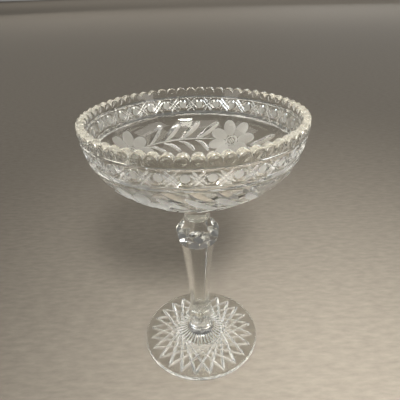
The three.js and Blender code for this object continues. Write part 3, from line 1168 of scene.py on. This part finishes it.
bpy.ops.object.select_all(action="DESELECT")
bpy.ops.mesh.primitive_torus_add(
    major_radius=EYE_RADIUS * MM,
    minor_radius=EYE_GROOVE * MM,
    major_segments=EYE_SEGMENTS,
    minor_segments=GROOVE_SEGMENTS,
)
groove = just_added(frosted_crystal)
eye = on_wall(0.0, flower_climb)
groove.data.transform(eye @ Matrix.Translation((0, 0, EYE_LIFT * MM)))
all_flowers(groove)
for slant in SLANTS:
    for row in HATCH_ROWS:
        hatch = mitre_wheel(HATCH_LENGTH, HATCH_WIDTH, HATCH_DEPTH, ground_crystal)
        shift = Matrix.Translation((0, HATCH_GAP * row * MM, 0))
        hatch.data.transform(eye @ Matrix.Rotation(slant, 4, "Z") @ shift)
        all_flowers(hatch)
print("eyes:", FLOWERS)

# %% [markdown]
# ## Leaf sprays
# Between the flowers runs a spray: one long stalk with four pairs of leaves, broad above it and thin
# below. They bend, so they are curved cuts along lines on the wall. One side of each leaf's groove is
# polished and lets light through, while the other is frosted and shows white. The stalk is frosted on
# both sides.

# %% Leaf sprays between the flowers
STALK_HEIGHT = 168.2
STALK_START, STALK_END = 15.0, 75.0
STALK_SIZE = (2.2, 1.1)
LEAF_PAIRS = 4
LEAF_STEP = 13.9
UPPER_LEAF = ((18.0, 0.0), (24.5, 2.7), (34.5, 12.6))
UPPER_SIZE = (6.6, 2.2)
LOWER_LEAF = ((16.5, -1.2), (25.0, -2.2), (30.0, -8.0))
LOWER_SIZE = (4.0, 1.7)
LEAF_FULLNESS = 0.62
LEAF_RINGS, STALK_RINGS = 14, 32


def bend(start, pull, end):
    """A curved line on the wall, given by three places: each a (bearing in degrees, height)."""
    spots = [Vector((math.radians(bearing), climb_to(height))) for bearing, height in (start, pull, end)]

    def line(share):
        spot = spots[0].lerp(spots[1], share).lerp(spots[1].lerp(spots[2], share), share)
        place = on_wall(spot.x, spot.y)
        return place.translation, place.to_3x3().col[2]

    return line


def leaf(number, places, size):
    """A cutter for one leaf. Its places are each a (bearing, rise) from the flower and the stalk."""
    line = bend(*((bearing + number * LEAF_STEP, STALK_HEIGHT + rise) for bearing, rise in places))
    return drawn_cut(line, *size, LEAF_RINGS, LEAF_FULLNESS, (cut_crystal, frosted_crystal))


stalk_middle = ((STALK_START + STALK_END) / 2, STALK_HEIGHT)
stalk = bend((STALK_START, STALK_HEIGHT), stalk_middle, (STALK_END, STALK_HEIGHT))
all_flowers(drawn_cut(stalk, *STALK_SIZE, STALK_RINGS, EVEN, (frosted_crystal, frosted_crystal)))
for number in range(LEAF_PAIRS):
    all_flowers(leaf(number, UPPER_LEAF, UPPER_SIZE))
    all_flowers(leaf(number, LOWER_LEAF, LOWER_SIZE))
print("sprays:", FLOWERS, "with", 2 * LEAF_PAIRS, "leaves")

# %% [markdown]
# ## Cutting the bowl
# All cuts of the bowl are taken out at once. The crease angle is small, because the dishes meet the wall
# at a shallow angle and their edges have to stay crisp.

# %% Grind the bowl
BOWL_CREASE = 9

print("cuts on the bowl:", grind(bowl, bowl_cuts))
polish(bowl, BOWL_CREASE)

# %% [markdown]
# ## Fitting the pieces to the frame
# Each piece of glass takes the place of its measured solid and moves with the body.

# %% Pieces take their places
for piece, node, slot in (
    (foot, "foot", "clear_crystal"),
    (foot_button, "foot_button", "clear_crystal"),
    (stem, "stem", "clear_crystal"),
    (neck_wafer, "neck_wafer", "clear_crystal"),
    (bowl, "bowl", "cut_crystal"),
):
    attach(piece, "root")
    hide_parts(node)
    print(piece.name, "stands for", node)

# %% [markdown]
# ## Felt
# The compote stands on plain pale felt. Felt is never one flat colour: its nap lies in short streaks. So
# a noise stretched along X lightens and darkens it and raises its surface a little.

# %% Pale felt
NAP_STRETCH = (70.0, 230.0, 1.0)
FELT_DARK = (0.136, 0.122, 0.103)
FELT_LIGHT = (0.177, 0.159, 0.136)
NAP_DETAIL = 6.0
NAP_ROUGHNESS = 0.62
NAP_STOPS = (0.3, 0.7)
NAP_RELIEF, NAP_HEIGHT = 0.05, 0.001
FELT_ROUGHNESS, FELT_SHEEN = 0.9, 0.15


def pale_felt():
    """A felt whose nap lightens, darkens and raises it in short streaks."""
    felt = bpy.data.materials.new("pale_felt")
    felt.use_nodes = True
    nodes = felt.node_tree.nodes
    link = felt.node_tree.links.new
    cloth = nodes["Principled BSDF"]
    cloth.inputs["Roughness"].default_value = FELT_ROUGHNESS
    cloth.inputs["Specular IOR Level"].default_value = FELT_SHEEN
    place = nodes.new("ShaderNodeTexCoord")
    stretch = nodes.new("ShaderNodeMapping")
    stretch.inputs["Scale"].default_value = NAP_STRETCH
    nap = nodes.new("ShaderNodeTexNoise")
    nap.inputs["Scale"].default_value = 1.0
    nap.inputs["Detail"].default_value = NAP_DETAIL
    nap.inputs["Roughness"].default_value = NAP_ROUGHNESS
    shades = nodes.new("ShaderNodeValToRGB")
    for stop, position, colour in zip(shades.color_ramp.elements, NAP_STOPS, (FELT_DARK, FELT_LIGHT)):
        stop.position = position
        stop.color = (*colour, 1.0)
    raised = nodes.new("ShaderNodeBump")
    raised.inputs["Strength"].default_value = NAP_RELIEF
    raised.inputs["Distance"].default_value = NAP_HEIGHT
    link(place.outputs["Object"], stretch.inputs["Vector"])
    link(stretch.outputs["Vector"], nap.inputs["Vector"])
    link(nap.outputs["Fac"], shades.inputs["Fac"])
    link(shades.outputs["Color"], cloth.inputs["Base Color"])
    link(nap.outputs["Fac"], raised.inputs["Height"])
    link(raised.outputs["Normal"], cloth.inputs["Normal"])
    return felt


felt = pale_felt()
print("nap stretched by", NAP_STRETCH)

# %% [markdown]
# ## Table
# The table goes on far enough to fill the view from any side, so one large plane does. It lies a hair
# below the foot, because two faces at one height would flicker.

# %% Pale floor
FLOOR_SIZE = 60.0
FLOOR_DROP = 0.05

bpy.ops.object.select_all(action="DESELECT")
bpy.ops.mesh.primitive_plane_add(size=FLOOR_SIZE, location=(0, 0, -FLOOR_DROP * MM))
floor = just_added(felt)
floor.name = "floor"
print("floor:", FLOOR_SIZE, "m square")

# %% [markdown]
# ## Surroundings
# Cut glass shows what is around it, and an even white room makes it vanish. This room is palest near the
# horizon and grows dimmer towards the ceiling, so its brightness goes by the height of the direction
# alone.

# %% A room that dims upwards
ROOM = ((0.0, 0.22), (0.14, 0.22), (0.24, 0.15), (0.71, 0.15), (0.87, 0.12), (1.0, 0.1))
ROOM_TINT = (1.0, 0.985, 0.95)


def surroundings(stops):
    """A room whose brightness goes by height: each stop is (sine of the elevation, brightness)."""
    world = bpy.data.worlds.new("studio")
    bpy.context.scene.world = world
    world.use_nodes = True
    nodes = world.node_tree.nodes
    link = world.node_tree.links.new
    direction = nodes.new("ShaderNodeTexCoord")
    split = nodes.new("ShaderNodeSeparateXYZ")
    ramp = nodes.new("ShaderNodeValToRGB")
    ramp.color_ramp.elements.remove(ramp.color_ramp.elements[-1])
    ramp.color_ramp.elements[0].color = (*(stops[0][1] * part for part in ROOM_TINT), 1.0)
    for height, brightness in stops[1:]:
        ramp.color_ramp.elements.new(height).color = (*(brightness * part for part in ROOM_TINT), 1.0)
    link(direction.outputs["Generated"], split.inputs["Vector"])
    link(split.outputs["Z"], ramp.inputs["Fac"])
    link(ramp.outputs["Color"], nodes["Background"].inputs["Color"])


surroundings(ROOM)
print("room stops:", len(ROOM))

# %% [markdown]
# ## How a lamp is placed
# A lamp is given by its bearing round the compote, its elevation, its distance and how bright it looks.
# An Area light of power P and area A looks as bright as P / (pi A), so the power is worked out from the
# look. Lamps are hidden from the camera and show only in the glass.

# %% Lamp stands
AIM = Vector((0, 0, 0.12))
WARM = (1.0, 0.97, 0.91)
COOL = (0.86, 0.93, 1.0)


def lamp_at(name, place, target, size, brightness, colour):
    """A soft lamp at a place that looks at a target and isn't seen directly."""
    lamp = bpy.data.lights.new(name, "AREA")
    lamp.shape = "RECTANGLE"
    lamp.size, lamp.size_y = size
    lamp.energy = brightness * math.pi * size[0] * size[1]
    lamp.color = colour
    stand = bpy.data.objects.new(name, lamp)
    stand.location = place
    stand.rotation_euler = (target - place).to_track_quat("-Z", "Y").to_euler()
    stand.visible_camera = False
    bpy.context.scene.collection.objects.link(stand)
    return stand


def round_the_compote(bearing, elevation, distance):
    """A place seen from the compote at a bearing and an elevation, both in degrees."""
    level = distance * math.cos(math.radians(elevation))
    angle = math.radians(bearing)
    rise = distance * math.sin(math.radians(elevation))
    return AIM + Vector((level * math.sin(angle), level * math.cos(angle), rise))


print("lamps look at", list(AIM))

# %% [markdown]
# ## Softboxes
# Broad softboxes stand round the compote. The low ones on both sides make the cuts shine, and the high
# ones light the rings and the rim. Two more stand low and far behind, one of them cool. They light the
# cuts that are seen through the glass, and from there they show in the rings as glints and not as bars.

# %% Softboxes round the compote
SOFTBOXES = (
    ("right_low", 100, 16, 2.5, (3.0, 0.7), 2.3, WARM),
    ("left_low", 250, 16, 2.5, (3.0, 0.7), 1.5, WARM),
    ("right_high", 105, 50, 2.5, (1.6, 0.8), 2.2, WARM),
    ("left_high", 268, 48, 2.5, (1.4, 0.7), 1.6, WARM),
    ("front_high", 185, 62, 2.5, (2.0, 1.0), 1.8, WARM),
    ("back_high", 0, 70, 2.5, (1.6, 0.7), 0.9, WARM),
    ("back_left", 335, 14, 8.0, (3.84, 1.6), 2.6, WARM),
    ("window", 25, 14, 8.0, (3.84, 1.6), 3.2, COOL),
)

for name, bearing, elevation, distance, size, brightness, colour in SOFTBOXES:
    lamp_at(name, round_the_compote(bearing, elevation, distance), AIM, size, brightness, colour)
print("softboxes:", len(SOFTBOXES))

# %% [markdown]
# ## Key lamp
# A small key lamp above the viewer's right shoulder throws the bowl's shadow to the back left. It is
# aimed at the table on the right, and its spread is narrow, as if a grid hung before it. So the table
# fades from right to left.

# %% Key lamp with a narrow spread
KEY_PLACE = (168, 48, 0.75)
KEY_TARGET = Vector((0.13, -0.05, 0.0))
KEY_SIZE = (0.16, 0.16)
KEY_BRIGHTNESS = 28.5
KEY_SPREAD = math.radians(60)

key = lamp_at("key", round_the_compote(*KEY_PLACE), KEY_TARGET, KEY_SIZE, KEY_BRIGHTNESS, WARM)
key.data.spread = KEY_SPREAD
print("key lamp:", round(key.data.energy, 2), "W")

# %% [markdown]
# ## Washes
# A table lit only by near lamps goes black far off. Wide lamps hang over it on all four sides, and one
# more far behind. The glass doesn't see them, because they would show in it as pale bars.

# %% Washes over the table
SIDE_WASH = (5.0, 2.4, (7.0, 3.5))
BACK_WASH = (17.0, 5.0, (34.0, 18.0))
WASHES = (
    ("far_wash", 17, *SIDE_WASH, 1.6),
    ("right_wash", 107, *SIDE_WASH, 0.9),
    ("near_wash", 197, *SIDE_WASH, 0.9),
    ("left_wash", 287, *SIDE_WASH, 0.9),
    ("back_wash", 17, *BACK_WASH, 1.1),
)

for name, bearing, distance, height, size, brightness in WASHES:
    place = round_the_compote(bearing, 0, distance)
    wash = lamp_at(name, place + Vector((0, 0, height)), place, size, brightness, WARM)
    wash.rotation_euler.z = -math.radians(bearing)
    wash.visible_glossy = False
    wash.visible_transmission = False
print("lamps:", [light.name for light in bpy.data.lights])

# %% [markdown]
# ## Light through glass
# A ray may have to cross a dozen facets before it leaves the compote, so the number of bounces is raised.

# %% Bounces
GLASS_BOUNCES = 32
GLOSS_BOUNCES = 12
SHADOW_CROSSINGS = 48
BRIGHTEST_INDIRECT = 8.0

cycles = bpy.context.scene.cycles
cycles.max_bounces = GLASS_BOUNCES
cycles.transmission_bounces = GLASS_BOUNCES
cycles.glossy_bounces = GLOSS_BOUNCES
cycles.transparent_max_bounces = SHADOW_CROSSINGS
cycles.caustics_reflective = False
cycles.caustics_refractive = False
cycles.sample_clamp_indirect = BRIGHTEST_INDIRECT
print("bounces through glass:", cycles.transmission_bounces)

# %% [markdown]
# ## Contrast
# The default view transform holds highlights back, which makes crystal look like plastic. The standard
# one lets the glints go white.

# %% View transform
bpy.context.scene.view_settings.view_transform = "Standard"
print("view transform:", bpy.context.scene.view_settings.view_transform)

# %% [markdown]
# ## Camera
# The camera stands close to the compote and above its rim, as in the photograph. Its place, tilt and lens
# come from fitting a pinhole camera to the rim, the stem and the foot.

# %% Camera
CAMERA_PLACE = (0.0, -0.2520, 0.2811)
CAMERA_PITCH = math.radians(28.887)
CAMERA_YAW = math.radians(0.611)
CAMERA_ROLL = math.radians(-1.763)
CAMERA_LENS = 34.12
CAMERA_SENSOR = 36
CAMERA_NEAR = 0.01

camera = bpy.data.objects.new("camera", bpy.data.cameras.new("camera"))
bpy.context.scene.collection.objects.link(camera)
camera.data.lens = CAMERA_LENS
camera.data.sensor_width = CAMERA_SENSOR
camera.data.clip_start = CAMERA_NEAR
tilt = Matrix.Rotation(-CAMERA_YAW, 4, "Z") @ Matrix.Rotation(math.pi / 2 - CAMERA_PITCH, 4, "X")
camera.matrix_world = Matrix.Translation(CAMERA_PLACE) @ tilt @ Matrix.Rotation(CAMERA_ROLL, 4, "Z")
bpy.context.scene.camera = camera
print("camera looks down", round(math.degrees(CAMERA_PITCH), 1), "degrees")
